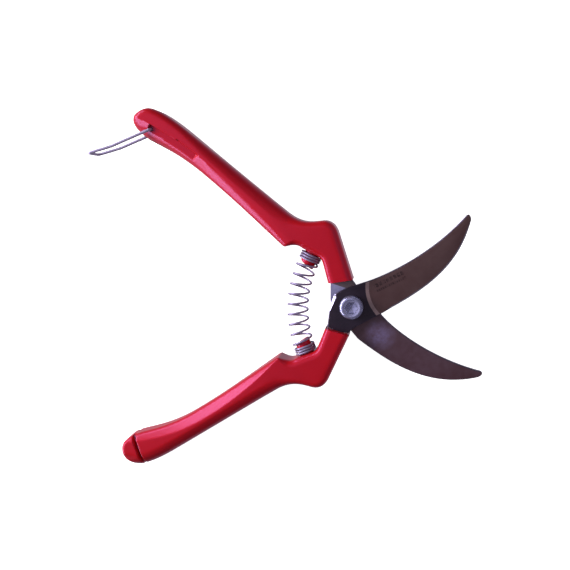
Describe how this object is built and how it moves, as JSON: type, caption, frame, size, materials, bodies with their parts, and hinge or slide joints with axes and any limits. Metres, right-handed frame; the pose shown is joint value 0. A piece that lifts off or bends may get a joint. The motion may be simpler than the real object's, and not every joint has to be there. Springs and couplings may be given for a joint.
{
  "type": "pruning shears",
  "caption": "Bypass pruning shears with curved blades, moulded grips, a coil return spring and a wire clasp on one grip.",
  "frame": {"origin": "centre of the pivot bolt's flat end, on the plane that the shears lie on; the pivot axis is the Z axis", "axes": "+X from the grips towards the blades, +Y towards the grip that carries the clasp, +Z towards the cutting blade's face and the bolt head"},
  "size_m": [0.1968, 0.183, 0.016],
  "materials": {
    "grip_plastic": "glossy red moulded plastic",
    "cutting_steel": "dark brown coated and ground steel, satin",
    "counter_steel": "dark plum-brown coated steel, satin",
    "pivot_zinc": "bright zinc plate",
    "spring_wire": "bright drawn spring wire",
    "clasp_wire": "bright drawn wire"
  },
  "bodies": {
    "front_lever": {"front_blade": "cutting_steel", "lower_grip": "grip_plastic", "pivot_bolt": "pivot_zinc", "pivot_bush": "pivot_zinc", "thrust_washer": "pivot_zinc", "wave_washer": "pivot_zinc", "pivot_nut": "pivot_zinc", "return_spring": "spring_wire"},
    "rear_lever": {"rear_blade": "counter_steel", "upper_grip": "grip_plastic"},
    "clasp": {"wire_clasp": "clasp_wire"}
  },
  "joints": [
    {"name": "handle_pivot", "type": "hinge", "parent": "front_lever", "child": "rear_lever", "pos_m": [0, 0, 0.008], "axis": [0, 0, 1], "range_deg": [0, 65.5], "stiffness_Nm_per_rad": 0.9, "springref_deg": -11.46, "deforming": ["return_spring"]},
    {"name": "clasp_swing", "type": "hinge", "parent": "rear_lever", "child": "clasp", "pos_m": [-0.09949, 0.08692, 0.008], "axis": [0, 0, 1], "range_deg": [0, 118]}
  ]
}
